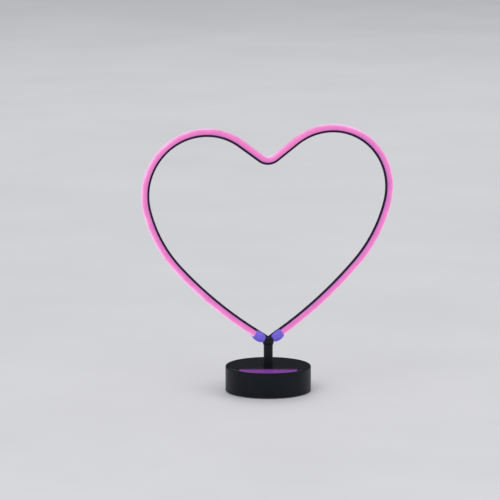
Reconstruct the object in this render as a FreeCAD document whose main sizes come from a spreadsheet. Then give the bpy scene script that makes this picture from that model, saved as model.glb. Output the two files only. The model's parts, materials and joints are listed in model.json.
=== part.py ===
import FreeCAD, Part
import Sketcher
import math
import os

# Battery-powered table light: a heart of LED neon tube on a bent wire frame, standing on a post in a
# round base.  Millimetres, +Z up.  The origin is the centre of the base's underside, the heart lies in
# the XZ plane and the light's front faces -Y.

DIMENSIONS = [
    # overall
    ("lamp_height", 267.9, "floor to the top of the neon tube"),
    ("heart_width", 261.2, "across the outside of the two lobes"),
    ("base_diameter", 86.0, "round base"),
    ("base_height", 26.0, "floor to the top face of the base"),
    # heart outline, measured on the middle of the neon tube
    ("lobe_radius", 62.3, "top lobes"),
    ("cleft_radius", 11.7, "dip between the lobes"),
    ("cleft_drop", 30.3, "lobe top to the bottom of the dip"),
    ("fork_rise", 23.6, "base top to the point where the two limbs would cross"),
    ("limb_lead", 16.8, "degrees that the limb's start lies below the fork-to-lobe direction"),
    ("knee_lead", 2.4, "degrees that the limb's end lies below it"),
    ("side_turn", 26.1, "degrees that the side's end lies above it"),
    # neon tube, frame wire and LED strip
    ("tube_diameter", 6.2, "silicone diffuser"),
    ("tube_bore", 3.4, "channel for the LED strip"),
    ("wire_diameter", 2.5, "steel frame wire"),
    ("wire_seat", 0.3, "depth that the wire sits in the tube's side"),
    ("wire_bend", 3.0, "bend radius where the wire turns down into the post"),
    ("leg_offset", 1.35, "wire leg from the post's axis"),
    ("leg_depth", 16.0, "length of wire leg inside the post"),
    ("strip_width", 2.4, "flexible LED circuit"),
    ("strip_thickness", 0.3, ""),
    ("chip_length", 1.6, "LED along the strip"),
    ("chip_width", 1.2, ""),
    ("chip_height", 0.7, ""),
    ("chip_pitch", 9.0, "between two LEDs"),
    # end caps
    ("cap_length", 11.4, "clear cap between the junction head and the lit tube"),
    ("cap_wall", 1.17, "around the tube's end"),
    ("cap_taper", 0.7, "radius lost from the mouth to the end at the head"),
    ("cap_crown", 13.2, "radius of the bulging side"),
    ("cap_socket", 2.4, "depth that the tube goes into the cap"),
    ("cap_cavity_radius", 2.1, "room for the lead"),
    # post and junction head
    ("post_diameter", 9.2, ""),
    ("post_bore", 6.6, ""),
    ("spigot_diameter", 8.0, "threaded end below the base's top face"),
    ("head_radius", 5.65, ""),
    ("head_lip", 0.35, "wall of the head at its lower edge"),
    ("head_flare", 2.6, "height of the cone under the head"),
    ("face_reach", 5.5, "fork point to the slanted faces that carry the caps"),
    ("head_top", 5.5, "fork point to the top of the head"),
    ("head_bottom", 2.6, "fork point down to the head's lower edge"),
    ("head_cavity", 7.8, "diameter of the room inside the head"),
    ("lead_hole", 2.2, "diameter of the hole for a lead in each slanted face"),
    ("lead_shift", 1.5, "that hole from the limb's own plane"),
    ("head_roof", 1.6, "thickness of the head's top"),
    ("washer_diameter", 18.0, ""),
    ("washer_thickness", 0.8, ""),
    ("nut_width", 12.0, "across flats"),
    ("nut_thickness", 2.0, ""),
    ("spigot_tail", 0.3, "post below the nut"),
    # base mouldings
    ("shell_wall", 2.0, ""),
    ("top_wall", 2.0, ""),
    ("edge_radius", 1.2, "rounded top edge of the base"),
    ("plate_thickness", 2.0, "bottom plate and battery cover"),
    ("plate_gap", 0.3, "around the plate and around the cover"),
    ("foot_gap", 1.0, "floor to the bottom plate"),
    ("foot_diameter", 8.0, ""),
    ("foot_recess", 0.6, "depth that a foot sits in the plate"),
    ("foot_radius", 34.5, "feet from the middle"),
    # batteries and their compartment
    ("cell_diameter", 14.5, "AA"),
    ("cell_length", 50.5, "AA, over the positive nub"),
    ("nub_diameter", 5.5, ""),
    ("nub_height", 1.0, ""),
    ("cell_pitch", 15.0, ""),
    ("cell_float", 0.1, "cell above the closed cover"),
    ("ceiling_gap", 0.3, "cell below the compartment's ceiling"),
    ("compartment_length", 58.0, ""),
    ("compartment_width", 46.0, ""),
    ("compartment_wall", 1.5, ""),
    ("ceiling_thickness", 1.2, ""),
    ("contact_thickness", 0.4, ""),
    ("contact_height", 9.0, ""),
    ("contact_width", 9.0, ""),
    ("contact_dimple", 0.4, "raised pad under the positive nub"),
    ("tail_width", 3.0, "solder tail"),
    ("tail_rise", 1.6, "solder tail above the ceiling"),
    ("leaf_width", 6.0, "bent leaf that presses on a cell's flat end"),
    ("leaf_root", 4.2, "foot of the leaf from the cell's axis"),
    ("leaf_crown", 0.9, "half of the leaf's flat crown"),
    # battery cover
    ("tab_width", 4.0, "hinge tab"),
    ("tab_reach", 1.4, "tab beyond the compartment's end"),
    ("tab_thickness", 1.0, ""),
    ("tab_lift", 0.3, "tab above the bottom plate"),
    ("window_height", 2.2, "window for a tab in the compartment's end wall"),
    ("rib_height", 2.0, "stiffening rib on the cover, between two cells"),
    ("rib_length", 40.0, ""),
    ("thumb_width", 14.0, "finger notch in the cover"),
    ("thumb_length", 6.0, ""),
    ("thumb_depth", 1.0, ""),
    # fasteners of the bottom plate
    ("screw_x", 22.0, ""),
    ("screw_y", 28.2, ""),
    ("screw_diameter", 2.6, ""),
    ("screw_head_diameter", 5.0, ""),
    ("screw_head_height", 1.8, ""),
    ("screw_length", 10.0, "under the head"),
    ("boss_diameter", 6.0, "screw boss in the base"),
    ("pillar_height", 3.0, "screw pillar on the bottom plate"),
    ("screw_sink", 0.4, "screw head below the plate's face"),
    # slide switch at the back
    ("switch_height", 13.0, "floor to the middle of the switch"),
    ("recess_length", 13.0, "finger recess in the base's side"),
    ("recess_height", 7.0, ""),
    ("recess_floor", 40.6, "bottom of the recess from the middle of the base"),
    ("pad_thickness", 2.0, "wall behind the recess"),
    ("pad_length", 23.0, ""),
    ("pad_height", 11.0, ""),
    ("switch_length", 12.0, "switch housing"),
    ("switch_width", 6.4, ""),
    ("switch_depth", 5.0, ""),
    ("switch_wall", 0.8, ""),
    ("bracket_length", 20.0, ""),
    ("bracket_thickness", 0.6, ""),
    ("knob_length", 3.6, ""),
    ("knob_width", 2.4, ""),
    ("knob_end", 42.4, "outer end of the knob from the middle of the base"),
    ("knob_travel", 4.0, ""),
    ("slide_gap", 0.3, "around the knob and its carriage"),
    ("switch_screw_x", 8.2, ""),
    ("switch_screw_diameter", 1.6, ""),
    ("pin_length", 2.5, "switch terminal"),
    ("pin_pitch", 3.0, ""),
    # circuit board in the front of the base
    ("board_length", 30.0, ""),
    ("board_width", 9.0, ""),
    ("board_thickness", 1.0, ""),
    ("board_y", -31.6, "middle of the board"),
    ("board_lift", 5.0, "standoff on the bottom plate"),
    ("standoff_diameter", 3.4, ""),
    ("standoff_x", 12.5, ""),
    ("lead_diameter", 1.1, "insulated wire"),
    ("fit", 0.03, "clearance of a close fit, on the radius or on one side"),
]

# Sizes that follow from the ones above.  The angles are directions of the tube from horizontal.
LAYOUT = [
    ("half_width", "(dims.heart_width - dims.tube_diameter) / 2"),
    ("lobe_z", "dims.lamp_height - dims.tube_diameter / 2 - dims.lobe_radius"),
    ("lobe_x", "layout.half_width - dims.lobe_radius"),
    ("cleft_z", "dims.lamp_height - dims.tube_diameter / 2 - dims.cleft_drop + dims.cleft_radius"),
    ("fork_z", "dims.base_height + dims.fork_rise"),
    ("reach_angle", "atan((layout.lobe_z - layout.fork_z) / layout.half_width) / 1 deg"),
    ("limb_angle", "layout.reach_angle - dims.limb_lead"),
    ("knee_angle", "layout.reach_angle - dims.knee_lead"),
    ("side_angle", "layout.reach_angle + dims.side_turn"),
    ("limb_cos", "cos(layout.limb_angle)"),
    ("limb_sin", "sin(layout.limb_angle)"),
    ("mouth_reach", "dims.face_reach + dims.cap_length"),
    ("cap_mouth", "dims.tube_diameter / 2 + dims.fit + dims.cap_wall"),
    ("cap_root", "layout.cap_mouth - dims.cap_taper"),
    ("mouth_x", "layout.mouth_reach * layout.limb_cos"),
    ("mouth_z", "layout.fork_z + layout.mouth_reach * layout.limb_sin"),
    # limb and side arcs: two unknown radii that join the mouth to the lobe
    ("span_x", "layout.lobe_x + dims.lobe_radius * sin(layout.side_angle) - layout.mouth_x"),
    ("span_z", "layout.lobe_z - dims.lobe_radius * cos(layout.side_angle) - layout.mouth_z"),
    ("limb_dx", "sin(layout.knee_angle) - layout.limb_sin"),
    ("limb_dz", "layout.limb_cos - cos(layout.knee_angle)"),
    ("side_dx", "sin(layout.side_angle) - sin(layout.knee_angle)"),
    ("side_dz", "cos(layout.knee_angle) - cos(layout.side_angle)"),
    ("arc_cross", "layout.limb_dx * layout.side_dz - layout.limb_dz * layout.side_dx"),
    ("limb_radius", "(layout.span_x * layout.side_dz - layout.span_z * layout.side_dx) / layout.arc_cross"),
    ("side_radius", "(layout.limb_dx * layout.span_z - layout.limb_dz * layout.span_x) / layout.arc_cross"),
    ("limb_cx", "layout.mouth_x - layout.limb_radius * layout.limb_sin"),
    ("limb_cz", "layout.mouth_z + layout.limb_radius * layout.limb_cos"),
    # frame wire on the inner side of the tube
    ("wire_inset", "dims.tube_diameter / 2 + dims.wire_diameter / 2 - dims.wire_seat"),
    # base, from the floor up
    ("plate_top", "dims.foot_gap + dims.plate_thickness"),
    ("cell_z", "layout.plate_top + dims.cell_float + dims.cell_diameter / 2"),
    ("ceiling_z", "layout.cell_z + dims.cell_diameter / 2 + dims.ceiling_gap"),
    ("ceiling_top", "layout.ceiling_z + dims.ceiling_thickness"),
    ("roof_z", "dims.base_height - dims.top_wall"),
    ("washer_z", "layout.roof_z - dims.washer_thickness"),
    ("nut_z", "layout.washer_z - dims.nut_thickness"),
    ("post_z", "layout.nut_z - dims.spigot_tail"),
    ("inner_radius", "dims.base_diameter / 2 - dims.shell_wall"),
    ("plate_radius", "layout.inner_radius - dims.plate_gap"),
    ("pillar_top", "layout.plate_top + dims.pillar_height"),
    ("half_length", "dims.compartment_length / 2"),
    ("half_breadth", "dims.compartment_width / 2"),
    ("tab_y", "dims.cell_pitch / 2"),
    # switch, from the recess inwards
    ("pad_face", "dims.recess_floor - dims.pad_thickness"),
    ("bracket_face", "layout.pad_face - dims.bracket_thickness"),
    ("switch_back", "layout.bracket_face - dims.switch_depth"),
    ("board_z", "layout.plate_top + dims.board_lift"),
]

doc = FreeCAD.newDocument("heart_table_light")
dims = doc.addObject("Spreadsheet::Sheet", "dims")
layout = doc.addObject("Spreadsheet::Sheet", "layout")
for row, (alias, size, note) in enumerate(DIMENSIONS, start=1):
    dims.set(f"A{row}", alias)
    dims.set(f"B{row}", str(size))
    dims.setAlias(f"B{row}", alias)
    dims.set(f"C{row}", note)
doc.recompute()
for row, (alias, formula) in enumerate(LAYOUT, start=1):
    layout.set(f"A{row}", alias)
    layout.set(f"B{row}", "=" + formula)
    layout.setAlias(f"B{row}", alias)
doc.recompute()

X_AXIS = FreeCAD.Vector(1, 0, 0)
Y_AXIS = FreeCAD.Vector(0, 1, 0)
Z_AXIS = FreeCAD.Vector(0, 0, 1)
START, END, CENTRE = 1, 2, 3  # point numbers of a sketch element
ORIGIN_X, ORIGIN_Y = -1, -2  # a sketch's own axes
SUBPARTS = []


# ---------------------------------------------------------------- expressions, sketches and features


def value(expression):
    """The number that an expression on the sheets has now."""
    return float(dims.evalExpression(expression))


def keep(subpart, label):
    """Makes a finished object a sub-part, whose label is its file's name."""
    subpart.Label = label
    SUBPARTS.append(subpart)
    return subpart


def place(shape, x="0", y="0", z="0", axis=Z_AXIS, angle="0"):
    """Puts an object at a point, turned about an axis; every value is an expression."""
    if angle != "0":
        shape.Placement = FreeCAD.Placement(FreeCAD.Vector(0, 0, 0), axis, value(angle))
        shape.setExpression("Placement.Rotation.Angle", angle)
    for name, expression in (("x", x), ("y", y), ("z", z)):
        if expression != "0":
            shape.setExpression(f"Placement.Base.{name}", expression)
    return shape


def origin_plane(body, role):
    return next(plane for plane in body.Origin.OriginFeatures if plane.Role == role)


def new_sketch(body, role, lift="0"):
    """A sketch on one of the body's own origin planes, raised along the plane's normal."""
    sketch = body.newObject("Sketcher::SketchObject", f"{body.Name}_sketch")
    sketch.AttachmentSupport = [(origin_plane(body, role), "")]
    sketch.MapMode = "FlatFace"
    if lift != "0":
        sketch.setExpression("AttachmentOffset.Base.z", lift)
    return sketch


def bind(sketch, constraint, expression):
    index = sketch.addConstraint(constraint)
    sketch.setExpression(f"Constraints[{index}]", expression)


def pin_point(sketch, element, point, x, y):
    """Holds a sketch point at (x, y), both expressions, or None to leave that one free."""
    for kind, axis, expression in (("DistanceX", ORIGIN_Y, x), ("DistanceY", ORIGIN_X, y)):
        if expression == "0":
            sketch.addConstraint(Sketcher.Constraint("PointOnObject", element, point, axis))
        elif expression is not None:
            bind(sketch, Sketcher.Constraint(kind, element, point, value(expression)), expression)


def bind_radius(sketch, element, expression):
    bind(sketch, Sketcher.Constraint("Radius", element, value(expression)), expression)


def add_circle(sketch, x, y, radius):
    centre = FreeCAD.Vector(value(x), value(y), 0)
    element = sketch.addGeometry(Part.Circle(centre, Z_AXIS, value(radius)))
    pin_point(sketch, element, CENTRE, x, y)
    bind_radius(sketch, element, radius)


def crown_arc(first, last, radius):
    """An arc that bulges to the right of the way from first to last."""
    chord = last - first
    rise = math.sqrt(radius ** 2 - (chord.Length / 2) ** 2)
    inward = FreeCAD.Vector(-chord.y, chord.x, 0).normalize()
    centre = first + chord / 2 + inward * rise
    start, end = (math.atan2(point.y - centre.y, point.x - centre.x) for point in (first, last))
    return Part.ArcOfCircle(Part.Circle(centre, Z_AXIS, radius), start, end)


def add_outline(sketch, corners, crown=None):
    """A closed polygon whose corners are pairs of expressions; a crown radius bends its last side."""
    points = [FreeCAD.Vector(value(x), value(y), 0) for x, y in corners]
    sides = []
    for point, following in zip(points, points[1:] + points[:1]):
        if crown and following is points[0]:
            sides.append(sketch.addGeometry(crown_arc(point, following, value(crown))))
        else:
            sides.append(sketch.addGeometry(Part.LineSegment(point, following)))
    for side, following, corner in zip(sides, sides[1:] + sides[:1], corners):
        sketch.addConstraint(Sketcher.Constraint("Coincident", side, END, following, START))
        pin_point(sketch, side, START, *corner)
    if crown:
        bind_radius(sketch, sides[-1], crown)


def new_body(name):
    return doc.addObject("PartDesign::Body", name)


def pad(body, sketch, length):
    feature = body.newObject("PartDesign::Pad", f"{body.Name}_pad")
    feature.Profile = sketch
    feature.setExpression("Length", length)
    return feature


def pocket_through(body, sketch):
    """Cuts the sketch through the whole body, both ways."""
    feature = body.newObject("PartDesign::Pocket", f"{body.Name}_pocket")
    feature.Profile = sketch
    feature.Type = "ThroughAll"
    feature.SideType = "Symmetric"
    return feature


def revolve(body, sketch):
    feature = body.newObject("PartDesign::Revolution", f"{body.Name}_turn")
    feature.Profile = sketch
    feature.ReferenceAxis = (sketch, ["V_Axis"])
    feature.Angle = 360
    return feature


def pipe(body, profile, spine, kind="AdditivePipe"):
    feature = body.newObject(f"PartDesign::{kind}", f"{body.Name}_pipe")
    feature.Profile = profile
    feature.Spine = spine
    feature.Mode = "Standard"
    return feature


def mirror_across_middle(body, feature):
    """Repeats the feature on the left half, across the YZ plane."""
    mirrored = body.newObject("PartDesign::Mirrored", f"{body.Name}_mirror")
    mirrored.Originals = [feature]
    mirrored.MirrorPlane = (origin_plane(body, "YZ_Plane"), [""])
    body.Tip = mirrored
    return mirrored


def box(name, x, y, z, length, width, height):
    """A box from its lowest corner (x, y, z)."""
    solid = doc.addObject("Part::Box", name)
    for size, expression in (("Length", length), ("Width", width), ("Height", height)):
        solid.setExpression(size, expression)
    return place(solid, x, y, z)


def slab(name, x, y, length, width, z, height):
    """A box centred on (x, y) that stands on z."""
    return box(name, f"{x} - ({length}) / 2", f"{y} - ({width}) / 2", z, length, width, height)


def cylinder(name, x, y, z, diameter, height, axis=Z_AXIS, angle="0"):
    solid = doc.addObject("Part::Cylinder", name)
    solid.setExpression("Radius", f"({diameter}) / 2")
    solid.setExpression("Height", height)
    return place(solid, x, y, z, axis, angle)


def fuse(name, solids):
    joined = doc.addObject("Part::MultiFuse", name)
    joined.Shapes = solids
    joined.Refine = True
    return joined


def cut(name, base, tools):
    result = doc.addObject("Part::Cut", name)
    result.Base = base
    result.Tool = tools[0] if len(tools) == 1 else fuse(f"{name}_tools", tools)
    result.Refine = True
    return result


def group(name, solids):
    """Identical loose pieces that share one sub-part."""
    compound = doc.addObject("Part::Compound", name)
    compound.Links = solids
    return compound


def corners_of(x, y):
    """The four places (+-x, +-y), as expressions."""
    return [(f"{i} * {x}", f"{j} * {y}") for i in (1, -1) for j in (1, -1)]


# ---------------------------------------------------------------- heart outline


def arc_geometry(x, y, radius, first, last):
    """An arc about (x, y) from angle first to angle last, in degrees."""
    circle = Part.Circle(FreeCAD.Vector(x, y, 0), Z_AXIS, radius)
    return Part.ArcOfCircle(circle, math.radians(first), math.radians(last))


def outline_path(body, inset, tail):
    """Right half of the heart as a sketch on the XZ plane: cleft, straight, lobe, side and limb.

    inset is how far inside the middle of the tube the path runs.  tail is "tube" for a path that ends
    in the cap's socket and "leg" for one that goes on to the post, bends and ends inside it.
    """
    sketch = new_sketch(body, "XZ_Plane")
    lobe_x, lobe_z, cleft_z = (value(f"layout.{name}") for name in ("lobe_x", "lobe_z", "cleft_z"))
    lobe_r = f"dims.lobe_radius - ({inset})"
    cleft_r = f"dims.cleft_radius + ({inset})"
    side_r = f"layout.side_radius - ({inset})"
    limb_r = f"layout.limb_radius - ({inset})"
    angles = {name: value(f"layout.{name}_angle") for name in ("limb", "knee", "side")}
    # direction of the straight that crosses from the cleft's arc to the lobe's
    distance = math.hypot(lobe_x, lobe_z - cleft_z)
    slope = math.degrees(
        math.atan2(lobe_z - cleft_z, lobe_x)
        + math.asin((value(lobe_r) + value(cleft_r)) / distance)
    )
    limb_x, limb_z = value("layout.limb_cx"), value("layout.limb_cz")
    knee = math.radians(angles["knee"])
    side_shift = value(limb_r) - value(side_r)
    side_x = limb_x + side_shift * math.sin(knee)
    side_z = limb_z - side_shift * math.cos(knee)

    cleft = arc_geometry(0, cleft_z, value(cleft_r), -90, slope - 90)
    lobe = arc_geometry(lobe_x, lobe_z, value(lobe_r), angles["side"] - 90, slope + 90)
    side = arc_geometry(side_x, side_z, value(side_r), angles["knee"] - 90, angles["side"] - 90)
    limb = arc_geometry(limb_x, limb_z, value(limb_r), angles["limb"] - 90, angles["knee"] - 90)
    straight = Part.LineSegment(cleft.EndPoint, lobe.EndPoint)
    elements = [sketch.addGeometry(shape) for shape in (cleft, straight, lobe, side, limb)]
    cleft_id, straight_id, lobe_id, side_id, limb_id = elements
    joints = [
        (cleft_id, END, straight_id, START),
        (straight_id, END, lobe_id, END),
        (lobe_id, START, side_id, END),
        (side_id, START, limb_id, END),
    ]
    for joint in joints:
        sketch.addConstraint(Sketcher.Constraint("Tangent", *joint))
    pin_point(sketch, cleft_id, CENTRE, "0", "layout.cleft_z")
    pin_point(sketch, cleft_id, START, "0", None)
    pin_point(sketch, lobe_id, CENTRE, "layout.lobe_x", "layout.lobe_z")
    pin_point(sketch, limb_id, CENTRE, "layout.limb_cx", "layout.limb_cz")
    for element, radius in ((cleft_id, cleft_r), (lobe_id, lobe_r), (side_id, side_r), (limb_id, limb_r)):
        bind_radius(sketch, element, radius)

    mouth_x = f"layout.mouth_x - ({inset}) * layout.limb_sin"
    pin_point(sketch, limb_id, START, mouth_x, None)
    if tail == "tube":
        add_tube_tail(sketch, limb_id, limb.StartPoint)
    else:
        add_leg_tail(sketch, limb_id, limb.StartPoint, inset)
    return sketch


def add_tube_tail(sketch, limb, mouth):
    """The straight end of the tube, inside its cap."""
    cos, sin = value("layout.limb_cos"), value("layout.limb_sin")
    reach = value("dims.cap_socket")
    end = mouth - FreeCAD.Vector(cos, sin, 0) * reach
    tail = sketch.addGeometry(Part.LineSegment(mouth, end))
    sketch.addConstraint(Sketcher.Constraint("Tangent", limb, START, tail, START))
    bind(sketch, Sketcher.Constraint("Distance", tail, reach), "dims.cap_socket")


def leg_bend(inset):
    """Expressions of the bend's centre: the wire turns from the limb's direction to straight down."""
    centre_x = "(dims.leg_offset + dims.wire_bend)"
    # height of the inset line above the fork at the bend's centre, less the bend's own offset
    line_z = f"({centre_x} * layout.limb_sin + ({inset})) / layout.limb_cos"
    centre_z = f"layout.fork_z + {line_z} - dims.wire_bend / layout.limb_cos"
    return centre_x, centre_z


def add_leg_tail(sketch, limb, mouth, inset):
    """Straight run along the cap, bend over the head's top, and the leg down inside the post."""
    centre_x, centre_z = leg_bend(inset)
    turn = value("90 + layout.limb_angle")
    bend = arc_geometry(value(centre_x), value(centre_z), value("dims.wire_bend"), turn, 180)
    run_end = bend.StartPoint
    foot = FreeCAD.Vector(value("dims.leg_offset"), value("layout.fork_z - dims.leg_depth"), 0)
    run = sketch.addGeometry(Part.LineSegment(mouth, run_end))
    arc = sketch.addGeometry(bend)
    leg = sketch.addGeometry(Part.LineSegment(bend.EndPoint, foot))
    sketch.addConstraint(Sketcher.Constraint("Coincident", limb, START, run, START))
    sketch.addConstraint(Sketcher.Constraint("Tangent", run, END, arc, START))
    sketch.addConstraint(Sketcher.Constraint("Tangent", arc, END, leg, START))
    pin_point(sketch, arc, CENTRE, centre_x, centre_z)
    bind_radius(sketch, arc, "dims.wire_bend")
    pin_point(sketch, leg, END, "dims.leg_offset", "layout.fork_z - dims.leg_depth")


TUBE_TOP = "layout.cleft_z - dims.cleft_radius"  # middle of the tube at the bottom of the cleft


def make_neon_tube():
    """Silicone diffuser: round, with a channel for the strip and a groove that seats the wire."""
    body = new_body("neon_tube")
    path = outline_path(body, "0", "tube")
    section = new_sketch(body, "YZ_Plane")
    add_circle(section, "0", TUBE_TOP, "dims.tube_diameter / 2")
    add_circle(section, "0", TUBE_TOP, "dims.tube_bore / 2")
    half = pipe(body, section, path)
    mirror_across_middle(body, half)
    groove_path = outline_path(body, "layout.wire_inset", "leg")
    groove = new_sketch(body, "YZ_Plane")
    add_circle(groove, "0", f"{TUBE_TOP} - layout.wire_inset", "dims.wire_diameter / 2 + dims.fit")
    groove_half = pipe(body, groove, groove_path, "SubtractivePipe")
    mirror_across_middle(body, groove_half)
    return keep(body, "neon_tube")


def make_heart_wire():
    """One black steel wire bent to the heart, with two legs that go down into the post."""
    body = new_body("heart_wire")
    path = outline_path(body, "layout.wire_inset", "leg")
    section = new_sketch(body, "YZ_Plane")
    add_circle(section, "0", f"{TUBE_TOP} - layout.wire_inset", "dims.wire_diameter / 2")
    half = pipe(body, section, path)
    mirror_across_middle(body, half)
    return keep(body, "heart_wire")


def make_led_strip():
    """Flexible circuit in the tube's channel, on the wire's side of its middle."""
    body = new_body("led_strip")
    path = outline_path(body, "0", "tube")
    section = new_sketch(body, "YZ_Plane")
    high = f"{TUBE_TOP} - dims.chip_height / 2 - dims.fit"
    low = f"{high} - dims.strip_thickness"
    edge = "dims.strip_width / 2"
    add_outline(section, [(f"-{edge}", low), (edge, low), (edge, high), (f"-{edge}", high)])
    half = pipe(body, section, path)
    mirror_across_middle(body, half)
    return keep(body, "led_strip")


def make_led_chips(strip_path):
    """LEDs at an even pitch along both halves of the strip, each standing square to it."""
    route = Part.Wire(Part.sortEdges(strip_path.Shape.Edges)[0])
    points = route.discretize(Distance=value("dims.chip_pitch") / 2)
    sizes = ("dims.chip_length", "dims.chip_width", "dims.chip_height - 2 * dims.fit")
    corner = FreeCAD.Vector(*(-value(size) / 2 for size in sizes))
    chips = []
    for step in range(1, len(points) - 2, 2):
        ahead = points[step + 1] - points[step - 1]
        for side in (1, -1):
            chip = doc.addObject("Part::Box", "led_chip")
            for name, size in zip(("Length", "Width", "Height"), sizes):
                chip.setExpression(name, size)
            turn = FreeCAD.Rotation(Y_AXIS, -math.degrees(math.atan2(side * ahead.z, ahead.x)))
            middle = FreeCAD.Vector(side * points[step].x, 0, points[step].z)
            chip.Placement = FreeCAD.Placement(middle + turn.multVec(corner), turn)
            chips.append(chip)
    return keep(group("led_chips", chips), "led_chips")


# ---------------------------------------------------------------- caps, head and post


def make_end_cap(label, side):
    """Clear cap around the tube's end; its axis is the limb's own, and the wire runs in its slot."""
    body = new_body(label)
    profile = new_sketch(body, "XZ_Plane")
    socket_z = "dims.cap_length - dims.cap_socket"
    socket_r = "dims.tube_diameter / 2 + dims.fit"
    add_outline(profile, [
        ("layout.cap_mouth", "dims.cap_length"),
        (socket_r, "dims.cap_length"),
        (socket_r, socket_z),
        ("dims.cap_cavity_radius", socket_z),
        ("dims.cap_cavity_radius", "0"),
        ("layout.cap_root", "0"),
    ], "dims.cap_crown")
    revolve(body, profile)
    # slot for the wire, open on the heart's inside
    groove = new_sketch(body, "XY_Plane")
    half = "(dims.wire_diameter / 2 + dims.fit)"
    bottom = f"{-side} * (layout.wire_inset - {half})"
    mouth = f"{-side} * (layout.cap_mouth + dims.wire_diameter)"
    add_outline(groove, [(bottom, half), (mouth, half), (mouth, f"-{half}"), (bottom, f"-{half}")])
    slot = pocket_through(body, groove)
    body.Tip = slot
    x = f"{side} * dims.face_reach * layout.limb_cos"
    z = "layout.fork_z + dims.face_reach * layout.limb_sin"
    place(body, x, "0", z, Y_AXIS, f"{side} * (90 - layout.limb_angle)")
    return keep(body, label)


def along_limb(side, reach, outward):
    """Expressions of a point in the XZ plane, reach along the limb and outward on its lower side."""
    x = f"{side} * (({reach}) * layout.limb_cos + ({outward}) * layout.limb_sin)"
    z = f"layout.fork_z + ({reach}) * layout.limb_sin - ({outward}) * layout.limb_cos"
    return x, z


def make_junction_head():
    """Moulded fork piece over the post's end, with two slanted faces square to the limbs."""
    body = new_body("head_moulding")
    profile = new_sketch(body, "XZ_Plane")
    socket_r = "dims.post_diameter / 2 + dims.fit"
    bottom = "layout.fork_z - dims.head_bottom"
    shoulder = f"{bottom} + dims.head_flare"
    seat = "layout.fork_z"
    top = "layout.fork_z + dims.head_top"
    ceiling = f"{top} - dims.head_roof"
    add_outline(profile, [
        (socket_r, bottom),
        (f"{socket_r} + dims.head_lip", bottom),
        ("dims.head_radius", shoulder),
        ("dims.head_radius", top),
        ("0", top),
        ("0", ceiling),
        ("dims.head_cavity / 2", ceiling),
        ("dims.head_cavity / 2", seat),
        (socket_r, seat),
    ])
    revolve(body, profile)
    for side in (1, -1):
        roof = new_sketch(body, "XZ_Plane")
        far = "dims.face_reach + 4 * dims.head_radius"
        wide = "3 * dims.head_radius"
        add_outline(roof, [
            along_limb(side, "dims.face_reach", f"-{wide}"),
            along_limb(side, "dims.face_reach", wide),
            along_limb(side, far, wide),
            along_limb(side, far, f"-{wide}"),
        ])
        pocket_through(body, roof)
    # channels of the wire's legs
    path = new_sketch(body, "XZ_Plane")
    along = FreeCAD.Vector(value("layout.limb_cos"), value("layout.limb_sin"), 0)
    centre_x, centre_z = leg_bend("layout.wire_inset")
    turn = value("90 + layout.limb_angle")
    bend = arc_geometry(value(centre_x), value(centre_z), value("dims.wire_bend"), turn, 180)
    reach = "dims.head_top + 1.4"
    run_start = bend.StartPoint + along * value(reach)
    leg_foot = f"{bottom} + dims.head_lip"
    foot = FreeCAD.Vector(value("dims.leg_offset"), value(leg_foot), 0)
    leg = path.addGeometry(Part.LineSegment(foot, bend.EndPoint))
    arc = path.addGeometry(bend)
    run = path.addGeometry(Part.LineSegment(bend.StartPoint, run_start))
    path.addConstraint(Sketcher.Constraint("Tangent", leg, END, arc, END))
    path.addConstraint(Sketcher.Constraint("Tangent", arc, START, run, START))
    pin_point(path, arc, CENTRE, centre_x, centre_z)
    bind_radius(path, arc, "dims.wire_bend")
    pin_point(path, leg, START, "dims.leg_offset", leg_foot)
    bind(path, Sketcher.Constraint("Distance", run, value(reach)), reach)
    sketch_angle = Sketcher.Constraint("Angle", run, math.radians(value("layout.limb_angle")))
    bind(path, sketch_angle, "layout.limb_angle * 1 deg")
    section = new_sketch(body, "XY_Plane", leg_foot)
    add_circle(section, "dims.leg_offset", "0", "dims.wire_diameter / 2 + dims.fit")
    channel = pipe(body, section, path, "SubtractivePipe")
    mirror_across_middle(body, channel)
    # holes of the two leads, one in each slanted face, in front of and behind the wire
    holes = []
    for side in (1, -1):
        x, z = along_limb(side, "dims.face_reach / 2", "0")
        holes.append(cylinder("lead_hole", x, f"-({side}) * dims.lead_shift", z, "dims.lead_hole",
                              "dims.face_reach", Y_AXIS, f"{side} * (90 - layout.limb_angle)"))
    return keep(cut("junction_head", body, holes), "junction_head")


def make_post():
    """Hollow post whose shoulder stands on the base and whose threaded end goes through its top."""
    body = new_body("post_tube")
    profile = new_sketch(body, "XZ_Plane")
    add_outline(profile, [
        ("dims.post_bore / 2", "layout.post_z"),
        ("dims.spigot_diameter / 2", "layout.post_z"),
        ("dims.spigot_diameter / 2", "dims.base_height"),
        ("dims.post_diameter / 2", "dims.base_height"),
        ("dims.post_diameter / 2", "layout.fork_z"),
        ("dims.post_bore / 2", "layout.fork_z"),
    ])
    revolve(body, profile)
    return keep(body, "post_tube")


def make_post_fasteners():
    """Washer and thin hexagon nut under the base's top wall."""
    hole = "dims.spigot_diameter + 2 * dims.fit"
    thick = "dims.washer_thickness"
    disc = cylinder("washer_disc", "0", "0", "layout.washer_z", "dims.washer_diameter", thick)
    disc_hole = cylinder("washer_hole", "0", "0", "layout.washer_z", hole, thick)
    keep(cut("post_washer", disc, [disc_hole]), "post_washer")
    hexagon = doc.addObject("Part::Prism", "nut_hexagon")
    hexagon.Polygon = 6
    hexagon.setExpression("Circumradius", "dims.nut_width / 2 / cos(30)")
    hexagon.setExpression("Height", "dims.nut_thickness")
    place(hexagon, z="layout.nut_z")
    nut_hole = cylinder("nut_hole", "0", "0", "layout.nut_z", hole, "dims.nut_thickness")
    keep(cut("post_nut", hexagon, [nut_hole]), "post_nut")


# ---------------------------------------------------------------- base mouldings


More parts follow.
